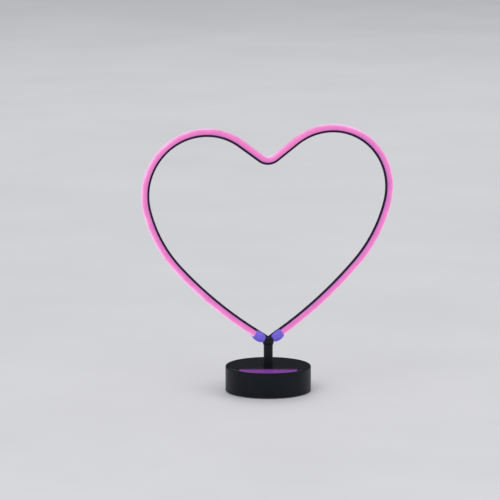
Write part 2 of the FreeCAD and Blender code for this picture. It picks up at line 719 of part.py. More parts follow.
def make_base_shell():
    """Top and side of the base in one moulding, with screw bosses and the switch's recess and slot."""
    outer = new_body("shell_puck")
    profile = new_sketch(outer, "XZ_Plane")
    rim, top = "dims.base_diameter / 2", "dims.base_height"
    add_outline(profile, [("0", "dims.foot_gap"), (rim, "dims.foot_gap"), (rim, top), ("0", top)])
    puck = revolve(outer, profile)
    doc.recompute()
    edge_name = next(
        f"Edge{number}"
        for number, edge in enumerate(puck.Shape.Edges, start=1)
        if edge.Curve.TypeId == "Part::GeomCircle" and edge.BoundBox.ZMin > value(f"{top} - 0.01")
    )
    rounding = outer.newObject("PartDesign::Fillet", "shell_edge")
    rounding.Base = (puck, [edge_name])
    rounding.setExpression("Radius", "dims.edge_radius")
    hollow = cylinder("shell_hollow", "0", "0", "0", "2 * layout.inner_radius", "layout.roof_z")
    pad_start = "layout.pad_face"
    pad_block = box(
        "switch_pad", "-dims.pad_length / 2", pad_start, "dims.switch_height - dims.pad_height / 2",
        "dims.pad_length", "layout.inner_radius - layout.pad_face + 0.2", "dims.pad_height",
    )
    bosses = []
    for x, y in corners_of("dims.screw_x", "dims.screw_y"):
        bosses.append(cylinder("shell_boss", x, y, "layout.pillar_top", "dims.boss_diameter",
                               "layout.roof_z - layout.pillar_top + 0.2"))
    walls = cut("shell_walls", outer, [hollow])
    solid = fuse("shell_solid", [walls, pad_block] + bosses)
    holes = []
    for x, y in corners_of("dims.screw_x", "dims.screw_y"):
        holes.append(cylinder("shell_screw_hole", x, y, "layout.pillar_top - 1",
                              "dims.screw_diameter + 2 * dims.fit", "dims.screw_length"))
    holes.append(cylinder("shell_post_hole", "0", "0", "layout.roof_z - 1",
                          "dims.spigot_diameter + 2 * dims.fit", "dims.top_wall + 2"))
    holes.append(box(
        "switch_recess", "-dims.recess_length / 2", "dims.recess_floor",
        "dims.switch_height - dims.recess_height / 2",
        "dims.recess_length", "dims.base_diameter / 2 - dims.recess_floor + 1", "dims.recess_height",
    ))
    slot_length = "dims.knob_length + dims.knob_travel + 2 * dims.slide_gap"
    slot_height = "dims.knob_width + 2 * dims.slide_gap"
    holes.append(box(
        "switch_slot", f"-({slot_length}) / 2", "layout.pad_face - 1",
        f"dims.switch_height - ({slot_height}) / 2",
        slot_length, "dims.pad_thickness + 2", slot_height,
    ))
    for x in ("dims.switch_screw_x", "-dims.switch_screw_x"):
        holes.append(cylinder("switch_screw_hole", x, "layout.pad_face + 1.7", "dims.switch_height",
                              "dims.switch_screw_diameter + 2 * dims.fit", "2.7", X_AXIS, "90"))
    return keep(cut("base_shell", solid, holes), "base_shell")


FEET = [
    ("dims.foot_radius", "0"),
    ("0", "dims.foot_radius"),
    ("-dims.foot_radius", "0"),
    ("0", "-dims.foot_radius"),
]


def make_bottom_plate():
    """Plate that closes the base, with the battery compartment, screw pillars and board standoffs."""
    disc = cylinder("plate_disc", "0", "0", "dims.foot_gap", "2 * layout.plate_radius",
                    "dims.plate_thickness")
    wall = "2 * dims.compartment_wall"
    case = slab("compartment_case", "0", "0", f"dims.compartment_length + {wall}",
                f"dims.compartment_width + {wall}", "dims.foot_gap", "layout.ceiling_top - dims.foot_gap")
    solids = [disc, case]
    for x, y in corners_of("dims.screw_x", "dims.screw_y"):
        solids.append(cylinder("plate_pillar", x, y, "dims.foot_gap", "dims.boss_diameter",
                               "layout.pillar_top - dims.foot_gap - dims.fit"))
    for x in ("dims.standoff_x", "-dims.standoff_x"):
        solids.append(cylinder("board_standoff", x, "dims.board_y", "dims.foot_gap",
                               "dims.standoff_diameter", "layout.board_z - dims.foot_gap - dims.fit"))
    tools = [slab("compartment_room", "0", "0", "dims.compartment_length", "dims.compartment_width",
                  "0", "layout.ceiling_z")]
    for x, y in corners_of("dims.screw_x", "dims.screw_y"):
        tools.append(cylinder("plate_screw_hole", x, y, "0", "dims.screw_diameter + 0.4",
                              "layout.pillar_top + 1"))
        tools.append(cylinder("plate_counterbore", x, y, "0", "dims.screw_head_diameter + 0.4",
                              "dims.foot_gap + dims.screw_sink + dims.screw_head_height"))
    for x, y in FEET:
        tools.append(cylinder("foot_pocket", x, y, "0", "dims.foot_diameter + 2 * dims.fit",
                              "dims.foot_gap + dims.foot_recess"))
    for y in ("layout.tab_y", "-layout.tab_y"):
        tools.append(slab("tab_window", "-layout.half_length - dims.compartment_wall / 2", y,
                          f"{wall}", "dims.tab_width + 0.8", "layout.plate_top", "dims.window_height"))
    for sign in (1, -1):
        x = f"{sign} * (layout.half_length - dims.contact_thickness / 2 - dims.fit)"
        y = f"{sign} * dims.cell_pitch"
        tools.append(slab("tail_slot", x, y, "dims.contact_thickness + 0.4", "dims.tail_width + 0.4",
                          "layout.ceiling_z - 1", "dims.ceiling_thickness + 2"))
    return keep(cut("bottom_plate", fuse("plate_solid", solids), tools), "bottom_plate")


def make_battery_cover():
    """Cover of the battery opening: two hinge tabs at its left end, a finger notch at its right."""
    gap = "2 * dims.plate_gap"
    panel = slab("cover_panel", "0", "0", f"dims.compartment_length - {gap}",
                 f"dims.compartment_width - {gap}", "dims.foot_gap", "dims.plate_thickness")
    solids = [panel]
    for y in ("layout.tab_y", "-layout.tab_y"):
        root = "-layout.half_length + dims.plate_gap"
        solids.append(box("tab_root", root, f"{y} - dims.tab_width / 2", "layout.plate_top - 0.5",
                          "1.6", "dims.tab_width", "dims.tab_lift + dims.tab_thickness + 0.5"))
        solids.append(box("tab_tongue", "-layout.half_length - dims.tab_reach", f"{y} - dims.tab_width / 2",
                          "layout.plate_top + dims.tab_lift", "dims.tab_reach + 1.6", "dims.tab_width",
                          "dims.tab_thickness"))
        solids.append(slab("cover_rib", "0", y, "dims.rib_length", "1.2", "layout.plate_top - 0.5",
                           "dims.rib_height + 0.5"))
    notch_x = "layout.half_length - dims.plate_gap - dims.thumb_length / 2 - 3"
    notch = slab("thumb_notch", notch_x, "0", "dims.thumb_length", "dims.thumb_width", "0",
                 "dims.foot_gap + dims.thumb_depth")
    return keep(cut("battery_cover", fuse("cover_solid", solids), [notch]), "battery_cover")


def make_feet():
    for number, (x, y) in enumerate(FEET, start=1):
        label = f"rubber_foot_{number}"
        height = "dims.foot_gap + dims.foot_recess - dims.fit"
        keep(cylinder(label, x, y, "0", "dims.foot_diameter", height), label)


def make_plate_screws():
    """Four self-tapping screws up through the plate's pillars into the shell's bosses."""
    screws = []
    head_z = "dims.foot_gap + dims.screw_sink"
    for x, y in corners_of("dims.screw_x", "dims.screw_y"):
        head = cylinder("screw_head", x, y, head_z, "dims.screw_head_diameter",
                        "dims.screw_head_height - dims.fit")
        shank = cylinder("screw_shank", x, y, head_z, "dims.screw_diameter",
                         "dims.screw_head_height + dims.screw_length - 2")
        cross = [slab("screw_cross", x, y, long, wide, f"{head_z} - 1", "2")
                 for long, wide in (("3", "0.6"), ("0.6", "3"))]
        screws.append(cut("plate_screw", fuse("screw_solid", [head, shank]), cross))
    return keep(group("plate_screws", screws), "plate_screws")


# ---------------------------------------------------------------- batteries and contacts

# row number, direction of the positive end along X
CELLS = [(-1, -1), (0, 1), (1, -1)]
NUB_FACE = "(layout.half_length - dims.contact_thickness - dims.contact_dimple - 2 * dims.fit)"
FLAT_FACE = f"({NUB_FACE} - dims.cell_length)"  # along the cell's positive direction


def make_cells():
    for number, (row, way) in enumerate(CELLS, start=1):
        y = f"{row} * dims.cell_pitch"
        can = cylinder("cell_can", f"{way} * {FLAT_FACE}", y, "layout.cell_z", "dims.cell_diameter",
                       "dims.cell_length - dims.nub_height", Y_AXIS, f"{way * 90}")
        nub = cylinder("cell_nub", f"{way} * ({NUB_FACE} - dims.nub_height - 0.5)", y, "layout.cell_z",
                       "dims.nub_diameter", "dims.nub_height + 0.5", Y_AXIS, f"{way * 90}")
        keep(fuse(f"battery_cell_{number}", [can, nub]), f"battery_cell_{number}")


def contact_leaf(name, side, row):
    """Bent leaf from the contact plate to the flat end of its cell, as a folded strip seen from above."""
    body = new_body(f"{name}_leaf")
    outline = new_sketch(body, "XY_Plane", "layout.cell_z - dims.leaf_width / 2")
    root = "layout.half_length - dims.contact_thickness - dims.fit + 0.1"
    reach = f"(-{FLAT_FACE} + dims.fit)"
    thick = "dims.contact_thickness"
    shape = [
        (root, "-dims.leaf_root"),
        (reach, "-dims.leaf_crown"),
        (reach, "dims.leaf_crown"),
        (f"{root} - 1", "dims.leaf_root"),
        (f"{root} - 1", f"dims.leaf_root - {thick} * 1.4"),
        (f"{reach} + {thick}", f"dims.leaf_crown - {thick} * 0.3"),
        (f"{reach} + {thick}", f"{thick} * 0.3 - dims.leaf_crown"),
        (root, f"{thick} * 1.4 - dims.leaf_root"),
    ]
    add_outline(outline, [(f"{side} * ({u})", f"{row} * dims.cell_pitch + {v}") for u, v in shape])
    pad(body, outline, "dims.leaf_width")
    return body


def contact_pad(name, side, row, dimple):
    """One contact plate against the compartment's end wall: a raised pad for a positive nub, or a leaf."""
    x = f"{side} * (layout.half_length - dims.contact_thickness / 2 - dims.fit)"
    y = f"{row} * dims.cell_pitch"
    solids = [slab(f"{name}_plate", x, y, "dims.contact_thickness", "dims.contact_width",
                   "layout.cell_z - dims.contact_height / 2", "dims.contact_height")]
    if dimple:
        start = f"{side} * (layout.half_length - dims.contact_thickness - dims.contact_dimple - dims.fit)"
        solids.append(cylinder(f"{name}_dimple", start, y, "layout.cell_z", "dims.nub_diameter",
                               "dims.contact_dimple + 0.2", Y_AXIS, f"{side * 90}"))
    else:
        solids.append(contact_leaf(name, side, row))
    return solids


def make_contacts():
    """Two end terminals with solder tails and two bridges that put the three cells in series."""
    for label, side, row, dimple in (("contact_positive", -1, -1, True), ("contact_negative", 1, 1, False)):
        x = f"{side} * (layout.half_length - dims.contact_thickness / 2 - dims.fit)"
        y = f"{row} * dims.cell_pitch"
        tail = slab(f"{label}_tail", x, y, "dims.contact_thickness", "dims.tail_width",
                    "layout.cell_z", "layout.ceiling_top + dims.tail_rise - layout.cell_z")
        keep(fuse(label, contact_pad(label, side, row, dimple) + [tail]), label)
    bridges = (("contact_bridge_right", 1, (-1, 0), 0), ("contact_bridge_left", -1, (0, 1), 1))
    for label, side, rows, dimpled in bridges:
        solids = []
        for row in rows:
            solids += contact_pad(label, side, row, row == dimpled)
        x = f"{side} * (layout.half_length - dims.contact_thickness / 2 - dims.fit)"
        y = f"{sum(rows)} * dims.cell_pitch / 2"
        solids.append(slab(f"{label}_strap", x, y, "dims.contact_thickness", "dims.cell_pitch",
                           "layout.cell_z - 2", "4"))
        keep(fuse(label, solids), label)


# ---------------------------------------------------------------- switch


def switch_box(name, length, y, depth, height, x="0"):
    """A box of the switch, centred on the knob's height, that runs back from y."""
    base = f"dims.switch_height - ({height}) / 2"
    return slab(name, x, f"{y} + ({depth}) / 2", length, depth, base, height)


def make_switch():
    slot = "dims.knob_length + dims.knob_travel + 2 * dims.slide_gap"
    slot_height = "dims.knob_width + 2 * dims.slide_gap"
    plate = switch_box("bracket_plate", "dims.bracket_length", "layout.bracket_face",
                       "dims.bracket_thickness - dims.fit", "dims.switch_width")
    tools = [switch_box("bracket_slot", slot, "layout.bracket_face - 1", "dims.bracket_thickness + 2",
                        slot_height)]
    for x in ("dims.switch_screw_x", "-dims.switch_screw_x"):
        tools.append(cylinder("bracket_hole", x, "layout.bracket_face + 2", "dims.switch_height",
                              "dims.switch_screw_diameter + 0.2", "4", X_AXIS, "90"))
    keep(cut("switch_bracket", plate, tools), "switch_bracket")

    carriage_length = "dims.knob_length + 2"
    room = f"{carriage_length} + dims.knob_travel + 2 * dims.slide_gap"
    inner_height = "dims.switch_width - 2 * dims.switch_wall"
    case = switch_box("switch_case", "dims.switch_length", "layout.switch_back",
                      "dims.switch_depth - dims.fit", "dims.switch_width")
    hollow = switch_box("switch_room", room, "layout.switch_back + dims.switch_wall", "dims.switch_depth",
                        inner_height)
    keep(cut("switch_housing", case, [hollow]), "switch_housing")

    knob_x = "dims.knob_travel / 2"
    carriage_y = "(layout.switch_back + dims.switch_wall + dims.slide_gap)"
    carriage_depth = "dims.switch_depth - dims.switch_wall - 2 * dims.slide_gap"
    carriage = switch_box("slider_carriage", carriage_length, carriage_y, carriage_depth,
                          f"{inner_height} - 2 * dims.slide_gap", knob_x)
    stem = switch_box("slider_stem", "dims.knob_length", f"{carriage_y} + 1",
                      f"dims.knob_end - {carriage_y} - 1", "dims.knob_width", knob_x)
    grooves = [switch_box("slider_groove", "0.5", "dims.knob_end - 0.4", "1", "dims.knob_width + 1",
                          f"{knob_x} + {step}") for step in (-1, 0, 1)]
    keep(cut("switch_slider", fuse("slider_solid", [carriage, stem]), grooves), "switch_slider")

    pin_y = "layout.switch_back - dims.pin_length"
    pins = [switch_box("switch_pin", "1.2", pin_y, "dims.pin_length - dims.fit", "0.4",
                       f"{step} * dims.pin_pitch") for step in (-1, 0, 1)]
    keep(group("switch_terminals", pins), "switch_terminals")

    screws = []
    for x in ("dims.switch_screw_x", "-dims.switch_screw_x"):
        head = cylinder("switch_screw_head", x, "layout.bracket_face - dims.fit", "dims.switch_height",
                        "3", "1.2", X_AXIS, "90")
        shank = cylinder("switch_screw_shank", x, "layout.pad_face + 1.5", "dims.switch_height",
                         "dims.switch_screw_diameter", "2.5", X_AXIS, "90")
        screws.append(fuse("switch_screw", [head, shank]))
    keep(group("switch_screws", screws), "switch_screws")


# ---------------------------------------------------------------- circuit board and wires


def make_board():
    board = slab("circuit_board", "0", "dims.board_y", "dims.board_length", "dims.board_width",
                 "layout.board_z", "dims.board_thickness")
    keep(board, "circuit_board")
    top = "layout.board_z + dims.board_thickness + dims.fit"
    chips = [
        slab("board_driver", "-6", "dims.board_y - 1", "5", "4", top, "1.6"),
        slab("board_resistor", "-11", "dims.board_y - 2", "2", "1.25", top, "0.6"),
        slab("board_sense_resistor", "-1", "dims.board_y - 2.5", "2", "1.25", top, "0.6"),
        cylinder("board_capacitor", "2.2", "dims.board_y - 1.4", top, "4", "5.4"),
    ]
    keep(group("board_components", chips), "board_components")


def round_wire(points, diameter):
    """Round solid along straight runs, joined by the largest arcs that leave each run a straight middle."""
    runs = [(points[i + 1] - points[i]).Length for i in range(len(points) - 1)]
    pieces = []
    here = points[0]
    for index in range(1, len(points) - 1):
        before = (points[index] - points[index - 1]).normalize()
        after = (points[index + 1] - points[index]).normalize()
        half_turn = before.getAngle(after) / 2
        trim = 0.45 * min(runs[index - 1], runs[index])
        radius = trim / math.tan(half_turn)
        first = points[index] - before * trim
        pieces.append(Part.makeCylinder(diameter / 2, (first - here).Length, here, before))
        hub = points[index] + (after - before).normalize() * (radius / math.cos(half_turn))
        disc = Part.Face(Part.Wire([Part.Circle(first, before, diameter / 2).toShape()]))
        turn_axis = before.cross(after).normalize()
        pieces.append(disc.revolve(hub, turn_axis, math.degrees(2 * half_turn)))
        here = points[index] + after * trim
    last_run = points[-1] - here
    pieces.append(Part.makeCylinder(diameter / 2, last_run.Length, here, last_run.normalize()))
    return pieces[0].multiFuse(pieces[1:])


def make_wire(label, corners):
    """A thin insulated wire along its real route; corners are triples of expressions."""
    points = [FreeCAD.Vector(value(x), value(y), value(z)) for x, y, z in corners]
    wire = doc.addObject("Part::Feature", label)
    wire.Shape = round_wire(points, value("dims.lead_diameter"))
    return keep(wire, label)


LEAD_Z = "layout.ceiling_top + 0.2 + dims.lead_diameter / 2"  # lying on the compartment's ceiling
BOARD_EDGE_Y = "dims.board_y + 3"  # row of solder pads along the board
PIN_TIP_Y = "layout.switch_back - dims.pin_length - dims.fit"


def down_to_board(over_x, pad_x):
    """Last stretch of a wire: over the compartment's edge and down to its pad on the board."""
    return [
        (over_x, "-layout.half_breadth - dims.compartment_wall - 1.3", LEAD_Z),
        (pad_x, BOARD_EDGE_Y, "layout.board_z + 6.5"),
        (f"{pad_x} + 0.3", BOARD_EDGE_Y, "layout.board_z + dims.board_thickness + dims.fit"),
    ]


def make_led_leads():
    """From each cap through the head and down the post, out under its end and forward to the board."""
    for label, side, crossing, over_x, pad_x in (
        ("lead_right", 1, [("0.7", "-14", LEAD_Z)], "-1.5", "-2.5"),
        ("lead_left", -1, [("-2.6", "-3", LEAD_Z), ("-4", "-14", LEAD_Z)], "-9", "-10"),
    ):
        corners = []
        for reach, shift in (("11.7", 0.7), ("6.9", 1.2), ("3.9", 1.7)):
            x, z = along_limb(side, reach, "0")
            corners.append((x, str(-side * shift), z))
        corners += [
            (f"{side * 0.8}", f"{-side * 2.3}", "layout.fork_z - 0.8"),
            (f"{side * 0.4}", f"{-side * 2.4}", "layout.fork_z - 7"),
            (f"{side * 0.2}", f"{-side * 2.2}", "layout.post_z + 1.6"),
            (f"{side * 0.3}", f"{-side * 2.3}", LEAD_Z),
            ("0.2" if side > 0 else "-0.9", "-5" if side > 0 else "0.2", LEAD_Z),
        ]
        make_wire(label, corners + crossing + down_to_board(over_x, pad_x))


def make_base_wires():
    """Positive terminal to switch, switch to board and negative terminal to board."""
    tail = "layout.half_length - dims.contact_thickness - 0.3"
    solder_z = "layout.ceiling_top + 0.9"
    edge_y = "layout.half_breadth + dims.compartment_wall + 1.3"
    make_wire("wire_positive", [
        (f"-({tail})", "-dims.cell_pitch", solder_z),
        ("-21", "-12.5", LEAD_Z),
        ("-15", "2", LEAD_Z),
        ("-11", "15", LEAD_Z),
        ("-6", edge_y, LEAD_Z),
        ("-4", "27.6", "16"),
        ("-dims.pin_pitch", f"{PIN_TIP_Y} - 2", "dims.switch_height + 0.5"),
        ("-dims.pin_pitch", PIN_TIP_Y, "dims.switch_height"),
    ])
    make_wire("wire_switched", [
        ("0", PIN_TIP_Y, "dims.switch_height"),
        ("0.2", f"{PIN_TIP_Y} - 2", "dims.switch_height + 0.5"),
        ("1.5", "27.4", "16.5"),
        ("4", edge_y, LEAD_Z),
        ("10", "14", LEAD_Z),
        ("12", "0", LEAD_Z),
        ("10", "-14", LEAD_Z),
    ] + down_to_board("6", "5.5"))
    make_wire("wire_negative", [
        (tail, "dims.cell_pitch", solder_z),
        ("22", "12", LEAD_Z),
        ("20", "-2", LEAD_Z),
        ("17", "-15", LEAD_Z),
    ] + down_to_board("12", "11"))


make_neon_tube()
make_heart_wire()
strip = make_led_strip()
doc.recompute()
strip_path = next(child for child in strip.Group if child.TypeId == "Sketcher::SketchObject")
make_led_chips(strip_path)
make_end_cap("end_cap_right", 1)
make_end_cap("end_cap_left", -1)
make_junction_head()
make_post()
make_post_fasteners()
make_base_shell()
make_bottom_plate()
make_battery_cover()
make_feet()
make_plate_screws()
make_cells()
make_contacts()
make_switch()
make_board()
make_led_leads()
make_base_wires()
doc.recompute()

# ---------------------------------------------------------------- check and write

faults = [f"{item.Name}: {item.State}" for item in doc.Objects if {"Invalid", "Error"} & set(item.State)]
faults += [part.Label for part in SUBPARTS if part.Shape.isNull() or not part.Shape.isValid()]
if faults:
    raise RuntimeError("; ".join(faults))
os.makedirs("parts", exist_ok=True)
for part in SUBPARTS:
    part.Shape.exportStep(f"parts/{part.Label}.step")
    print(f"{part.Label}: {len(part.Shape.Solids)} solid(s), {part.Shape.Volume:.1f} mm3")
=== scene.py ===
"""Looks of a battery table light: a glowing silicone tube bent into a heart, on a post and a round base.

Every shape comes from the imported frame. This script gives each node its material, adds the fine pieces
that sit on the frame, and sets the floor, the lights and the camera. Units are metres.
"""

import json
import math

import bmesh
import bpy
from mathutils import Matrix, Vector

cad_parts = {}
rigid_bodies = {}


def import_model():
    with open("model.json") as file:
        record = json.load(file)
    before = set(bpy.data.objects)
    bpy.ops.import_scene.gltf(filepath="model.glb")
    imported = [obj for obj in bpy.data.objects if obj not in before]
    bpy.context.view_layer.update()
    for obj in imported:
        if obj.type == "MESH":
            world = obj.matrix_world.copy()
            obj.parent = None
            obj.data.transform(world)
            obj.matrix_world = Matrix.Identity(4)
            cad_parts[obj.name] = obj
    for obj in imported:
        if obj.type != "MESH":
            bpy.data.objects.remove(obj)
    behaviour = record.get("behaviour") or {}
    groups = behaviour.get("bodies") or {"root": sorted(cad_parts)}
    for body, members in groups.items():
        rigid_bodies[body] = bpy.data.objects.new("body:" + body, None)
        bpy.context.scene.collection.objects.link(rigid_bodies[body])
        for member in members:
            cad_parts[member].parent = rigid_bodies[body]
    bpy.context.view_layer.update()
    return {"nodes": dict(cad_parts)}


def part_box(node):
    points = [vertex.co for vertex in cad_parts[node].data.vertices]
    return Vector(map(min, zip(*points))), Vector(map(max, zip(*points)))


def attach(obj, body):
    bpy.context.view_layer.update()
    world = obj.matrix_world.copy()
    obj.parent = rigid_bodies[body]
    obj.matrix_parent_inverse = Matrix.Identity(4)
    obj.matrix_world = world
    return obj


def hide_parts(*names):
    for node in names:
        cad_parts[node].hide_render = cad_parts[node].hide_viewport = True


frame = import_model()

# Degrees that the camera, and the glow that it sees on the base, are turned to the left of the front.
VIEW_TURN = 15.5

# A noise stays mostly between these two values.
NOISE_LOW, NOISE_HIGH = 0.3, 0.7


# ------------------------------------------------------------------------------------- shader helpers


class Shader:
    """A procedural material: one Principled shader and the nodes that feed it, in object coordinates."""

    def __init__(self, name, **sockets):
        self.name = name
        self.material = bpy.data.materials.new(name)
        self.material.use_nodes = True
        self.tree = self.material.node_tree
        self.principled = next(n for n in self.tree.nodes if n.type == "BSDF_PRINCIPLED")
        self.output = next(n for n in self.tree.nodes if n.type == "OUTPUT_MATERIAL")
        self.coordinates = self.add("ShaderNodeTexCoord")
        for socket, value in sockets.items():
            self.set(socket.replace("_", " "), value)

    def add(self, kind, **settings):
        node = self.tree.nodes.new(kind)
        for key, value in settings.items():
            setattr(node, key, value)
        return node

    def set(self, socket, value):
        """A value that is the same all over goes straight on the shader's own socket."""
        self.principled.inputs[socket].default_value = value

    def link(self, source, socket):
        self.tree.links.new(source, self.principled.inputs[socket])

    def feed(self, node, index, source):
        """Puts an output, a number or a vector on a node's input."""
        if isinstance(source, bpy.types.NodeSocket):
            self.tree.links.new(source, node.inputs[index])
        else:
            node.inputs[index].default_value = source

    @property
    def place(self):
        return self.coordinates.outputs["Object"]

    @property
    def facing(self):
        return self.coordinates.outputs["Normal"]

    def stretched(self, scale, turn=(0.0, 0.0, 0.0)):
        """The object's coordinates, stretched along each axis."""
        mapping = self.add("ShaderNodeMapping")
        self.tree.links.new(self.place, mapping.inputs["Vector"])
        mapping.inputs["Scale"].default_value = scale
        mapping.inputs["Rotation"].default_value = turn
        return mapping.outputs["Vector"]

    def math(self, operation, first, second=0.0, third=0.0):
        node = self.add("ShaderNodeMath", operation=operation)
        self.feed(node, 0, first)
        self.feed(node, 1, second)
        self.feed(node, 2, third)
        return node.outputs[0]

    def vector(self, operation, first, second=(0.0, 0.0, 0.0)):
        node = self.add("ShaderNodeVectorMath", operation=operation)
        self.feed(node, 0, first)
        self.feed(node, 1, second)
        return node.outputs["Value" if operation == "DOT_PRODUCT" else "Vector"]

    def axis(self, vector, letter):
        node = self.add("ShaderNodeSeparateXYZ")
        self.tree.links.new(vector, node.inputs[0])
        return node.outputs[letter]

    def noise(self, scale, detail=3.0, roughness=0.55, at=None):
        node = self.add("ShaderNodeTexNoise")
        self.tree.links.new(at or self.place, node.inputs["Vector"])
        node.inputs["Scale"].default_value = scale
        node.inputs["Detail"].default_value = detail
        node.inputs["Roughness"].default_value = roughness
        return node.outputs["Fac"]

    def cell_borders(self, scale, randomness):
        """How far each point is from the border of the irregular cell that it lies in."""
        node = self.add("ShaderNodeTexVoronoi", feature="DISTANCE_TO_EDGE")
        self.tree.links.new(self.place, node.inputs["Vector"])
        node.inputs["Scale"].default_value = scale
        node.inputs["Randomness"].default_value = randomness
        return node.outputs["Distance"]

    def spread(self, factor, low=NOISE_LOW, high=NOISE_HIGH, to_low=0.0, to_high=1.0):
        """Maps low..high of a factor onto to_low..to_high, clamped."""
        node = self.add("ShaderNodeMapRange", clamp=True)
        self.tree.links.new(factor, node.inputs["Value"])
        node.inputs["From Min"].default_value = low
        node.inputs["From Max"].default_value = high
        node.inputs["To Min"].default_value = to_low
        node.inputs["To Max"].default_value = to_high
        return node.outputs["Result"]

    def colours(self, factor, *stops):
        """A colour ramp: stops are (place, colour)."""
        node = self.add("ShaderNodeValToRGB")
        self.tree.links.new(factor, node.inputs["Fac"])
        band = node.color_ramp
        while len(band.elements) < len(stops):
            band.elements.new(0.5)
        for element, (place, colour) in zip(band.elements, stops):
            element.position = place
            element.color = (*colour, 1.0)
        return node.outputs["Color"]

    def mixed(self, factor, first, second):
        """The first colour where the factor is 0, the second where it is 1."""
        node = self.add("ShaderNodeMix", data_type="RGBA")
        colour_a, colour_b, colour_result = 6, 7, 2
        self.tree.links.new(factor, node.inputs[0])
        self.tree.links.new(first, node.inputs[colour_a])
        self.tree.links.new(second, node.inputs[colour_b])
        return node.outputs[colour_result]

    def bump(self, height, strength, distance, under=None):
        node = self.add("ShaderNodeBump")
        node.inputs["Strength"].default_value = strength
        node.inputs["Distance"].default_value = distance
        self.tree.links.new(height, node.inputs["Height"])
        if under is not None:
            self.tree.links.new(under, node.inputs["Normal"])
        return node.outputs["Normal"]


def shades(colour, spread):
    """A darker and a lighter version of a colour, for mottling."""
    return tuple(c * (1 - spread) for c in colour), tuple(min(1.0, c * (1 + spread)) for c in colour)


def mottled(shader, colour, spread, scale):
    """Puts a softly varying colour on a shader's base."""
    dark, light = shades(colour, spread)
    cloud = shader.spread(shader.noise(scale, detail=4.0))
    shader.link(shader.colours(cloud, (0.0, dark), (1.0, light)), "Base Color")


# ------------------------------------------------------------------------------------------ materials

HEART_CENTRE = (0.0, 0.0, 0.165)
BLACK = (0.0085, 0.0105, 0.0155)


def moulded(name, colour, roughness, grain, depth, specular=0.5, spread=0.2):
    """Injection-moulded plastic with a fine spark-eroded grain."""
    shader = Shader(name, Specular_IOR_Level=specular)
    mottled(shader, colour, spread, scale=90.0)
    worn = shader.noise(35.0, detail=5.0, roughness=0.6)
    shader.link(shader.spread(worn, to_low=roughness - 0.05, to_high=roughness + 0.06), "Roughness")
    fine = shader.noise(grain, detail=2.0, roughness=0.6)
    shader.link(shader.bump(fine, strength=0.5, distance=depth), "Normal")
    return shader


def metal(name, colour, roughness, brushed):
    """Plated or plain metal with fine brushing and handling marks."""
    shader = Shader(name, Metallic=1.0)
    mottled(shader, colour, spread=0.12, scale=120.0)
    smudge = shader.noise(60.0, detail=4.0, roughness=0.6)
    handled = shader.spread(smudge, to_low=roughness - 0.1, to_high=roughness + 0.02)
    lines = shader.noise(900.0, roughness=0.7, at=shader.stretched(brushed))
    line_share = 0.12
    shader.link(shader.math("MULTIPLY_ADD", lines, line_share, handled), "Roughness")
    shader.link(shader.bump(lines, strength=0.3, distance=0.00003), "Normal")
    return shader


def rubbery(name, colour, roughness):
    """Soft rubber or cable insulation with a dusty, uneven surface."""
    shader = Shader(name, Specular_IOR_Level=0.35, Sheen_Weight=0.12, Sheen_Roughness=0.5)
    mottled(shader, colour, spread=0.25, scale=160.0)
    dust = shader.noise(45.0, detail=5.0, roughness=0.65)
    shader.link(
        shader.spread(dust, high=0.75, to_low=roughness - 0.08, to_high=roughness + 0.1), "Roughness"
    )
    grain = shader.noise(1400.0, roughness=0.6)
    shader.link(shader.bump(grain, strength=0.4, distance=0.00006), "Normal")
    return shader


def neon_silicone():
    """Pink silicone lit from inside: brighter round the outside of the bend, cooler beside the wire."""
    shader = Shader(
        "neon_silicone",
        Specular_IOR_Level=0.35,
        Coat_Weight=0.12,
        Coat_Roughness=0.3,
        Emission_Strength=0.80,
    )
    outward = shader.vector("SUBTRACT", shader.place, HEART_CENTRE)
    outward = shader.vector("NORMALIZE", shader.vector("MULTIPLY", outward, (1.0, 0.0, 1.0)))
    side = shader.vector("DOT_PRODUCT", shader.facing, outward)
    cloud = shader.noise(70.0, detail=4.0, roughness=0.6)
    speckle = shader.noise(420.0, roughness=0.6)
    side_share, middle_level, cloud_share, speckle_share = 0.38, 0.345, 0.28, 0.12
    speckled = shader.math("MULTIPLY", speckle, speckle_share)
    uneven = shader.math("MULTIPLY_ADD", cloud, cloud_share, speckled)
    level = shader.math("ADD", shader.math("MULTIPLY_ADD", side, side_share, middle_level), uneven)
    glow = shader.colours(
        level,
        (0.0, (0.40, 0.145, 0.560)),
        (0.32, (0.60, 0.150, 0.510)),
        (0.46, (0.76, 0.170, 0.480)),
        (0.64, (0.83, 0.210, 0.540)),
        (0.76, (0.90, 0.310, 0.660)),
        (0.84, (1.0, 0.520, 0.900)),
        (0.96, (1.0, 0.640, 0.960)),
    )
    shader.link(glow, "Emission Color")
    dark, light = (0.22, 0.065, 0.165), (0.28, 0.090, 0.205)
    shader.link(shader.colours(cloud, (NOISE_LOW, dark), (NOISE_HIGH, light)), "Base Color")
    shader.link(shader.spread(speckle, to_low=0.36, to_high=0.5), "Roughness")
    skin = shader.noise(1500.0, detail=2.0, roughness=0.6)
    fine = shader.bump(skin, strength=0.25, distance=0.00005)
    shader.link(shader.bump(cloud, strength=0.15, distance=0.0004, under=fine), "Normal")
    return shader


